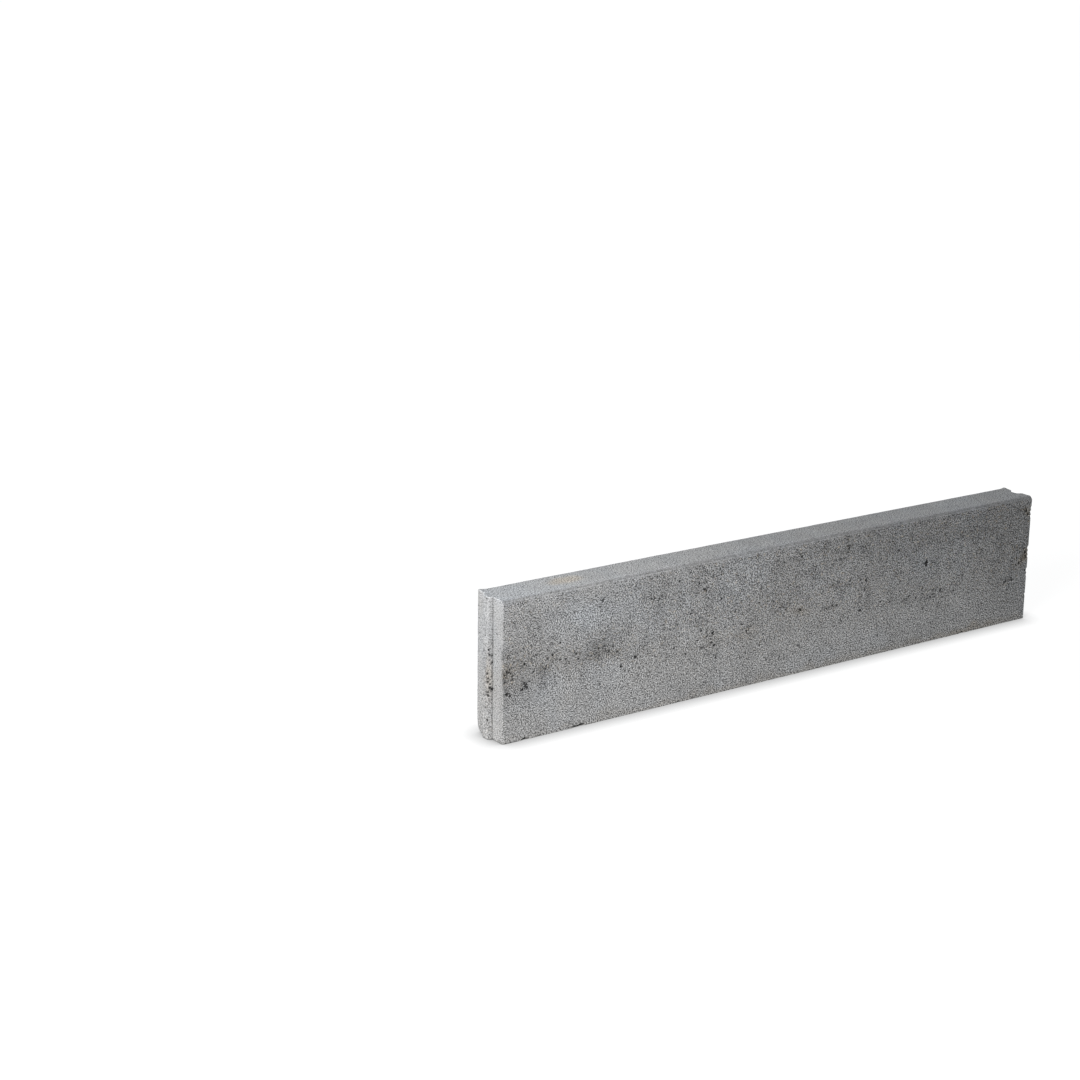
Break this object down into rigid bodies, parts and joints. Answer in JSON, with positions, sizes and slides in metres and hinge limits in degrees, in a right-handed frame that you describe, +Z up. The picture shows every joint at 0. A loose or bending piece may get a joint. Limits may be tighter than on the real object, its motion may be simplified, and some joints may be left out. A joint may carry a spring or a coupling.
{
  "type": "concrete kerb stone",
  "caption": "Long narrow precast concrete edging kerb with a bevelled top edge, an upright tongue on one end and a matching groove on the other, set on edge along paving.",
  "frame": {"origin": "middle of the bed face, halfway between the two end shoulders", "axes": "+X along the stone from the tongue end to the groove end, +Y from the bevelled front face to the back face, +Z up from the bed"},
  "size_m": [1.006, 0.06, 0.2],
  "materials": {
    "concrete": "fair-faced grey concrete, fine sandy grain with small air pits and faint brown-grey staining"
  },
  "bodies": {
    "root": {"kerb_stone": "concrete"}
  },
  "joints": []
}
